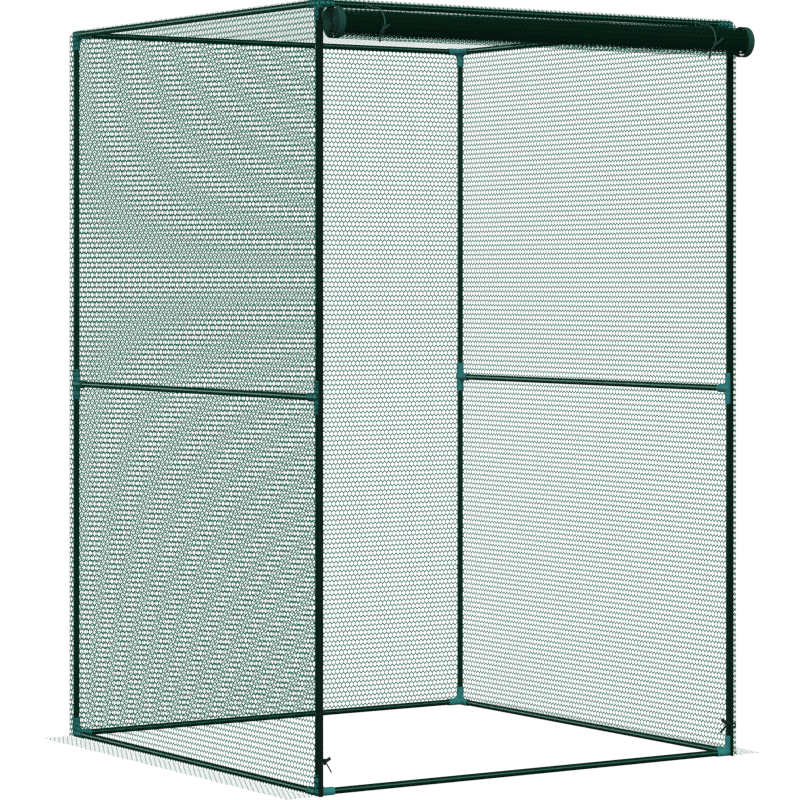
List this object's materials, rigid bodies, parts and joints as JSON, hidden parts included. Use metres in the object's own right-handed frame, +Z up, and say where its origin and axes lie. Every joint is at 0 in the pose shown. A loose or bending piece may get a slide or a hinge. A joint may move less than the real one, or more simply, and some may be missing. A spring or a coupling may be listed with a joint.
{
  "type": "crop cage",
  "caption": "Walk-in crop cage of plug-together steel tubes under a net cover with side ground skirts; the front net rolls up under the roof's edge and is tied there.",
  "frame": {"origin": "on the ground, under the middle of the outer box", "axes": "+Z up, -Y out through the doorway at the front, -X the side on the left of someone facing the doorway"},
  "size_m": [1.4378, 1.3624, 1.8952],
  "materials": {
    "tube_paint": "satin dark green powder coat",
    "connector_plastic": "moulded, fine satin, blue green",
    "net_cord": "knitted polyethylene strands, dark green",
    "binding_tape": "woven tape, near black green",
    "tie_cord": "braided cord and tape, near black green"
  },
  "bodies": {
    "cage": {"upright_lower_front_left": "tube_paint", "upright_lower_front_right": "tube_paint", "upright_lower_back_right": "tube_paint", "upright_lower_back_left": "tube_paint", "upright_upper_front_left": "tube_paint", "upright_upper_front_right": "tube_paint", "upright_upper_back_right": "tube_paint", "upright_upper_back_left": "tube_paint", "bottom_rail_front": "tube_paint", "bottom_rail_back": "tube_paint", "bottom_rail_left": "tube_paint", "bottom_rail_right": "tube_paint", "top_rail_front": "tube_paint", "top_rail_back": "tube_paint", "top_rail_left": "tube_paint", "top_rail_right": "tube_paint", "middle_rail_left": "tube_paint", "middle_rail_right": "tube_paint", "corner_bottom_front_left": "connector_plastic", "corner_bottom_front_right": "connector_plastic", "corner_bottom_back_right": "connector_plastic", "corner_bottom_back_left": "connector_plastic", "tee_middle_front_left": "connector_plastic", "tee_middle_front_right": "connector_plastic", "tee_middle_back_right": "connector_plastic", "tee_middle_back_left": "connector_plastic", "corner_top_front_left": "connector_plastic", "corner_top_front_right": "connector_plastic", "corner_top_back_right": "connector_plastic", "corner_top_back_left": "connector_plastic", "net_left": "net_cord", "net_right": "net_cord", "net_back": "net_cord", "net_roof": "net_cord", "door_flap": "net_cord", "front_edge_band_left": "binding_tape", "front_edge_band_right": "binding_tape", "roll_tie_left": "tie_cord", "roll_tie_right": "tie_cord", "foot_tie_left": "tie_cord", "foot_tie_right": "tie_cord"},
    "door_curtain": {"door_net_hanging": "net_cord"},
    "door_roll": {"door_roll_net": "net_cord", "door_tape_left": "binding_tape", "door_tape_right": "binding_tape"},
    "left_skirt": {"skirt_left": "net_cord"},
    "right_skirt": {"skirt_right": "net_cord"}
  },
  "joints": [
    {"name": "door_drop", "type": "slide", "parent": "cage", "child": "door_curtain", "axis": [0, 0, -1], "range_m": [0, 1.7932], "deforming": ["door_net_hanging", "roll_tie_left", "roll_tie_right"]},
    {"name": "door_roll_turn", "type": "hinge", "parent": "door_curtain", "child": "door_roll", "pos_m": [0, -0.63557, 1.8352], "axis": [1, 0, 0], "range_deg": [0, 4320.1]},
    {"name": "left_skirt_fold", "type": "hinge", "parent": "cage", "child": "left_skirt", "pos_m": [-0.64225, 0.04493, 0.00105], "axis": [0, 1, 0], "range_deg": [0, 90]},
    {"name": "right_skirt_fold", "type": "hinge", "parent": "cage", "child": "right_skirt", "pos_m": [0.64225, 0.04493, 0.00105], "axis": [0, -1, 0], "range_deg": [0, 90]}
  ],
  "couplings": [
    {"joint": "door_roll_turn", "follows": "door_drop", "rad_per_m": 42.047}
  ]
}
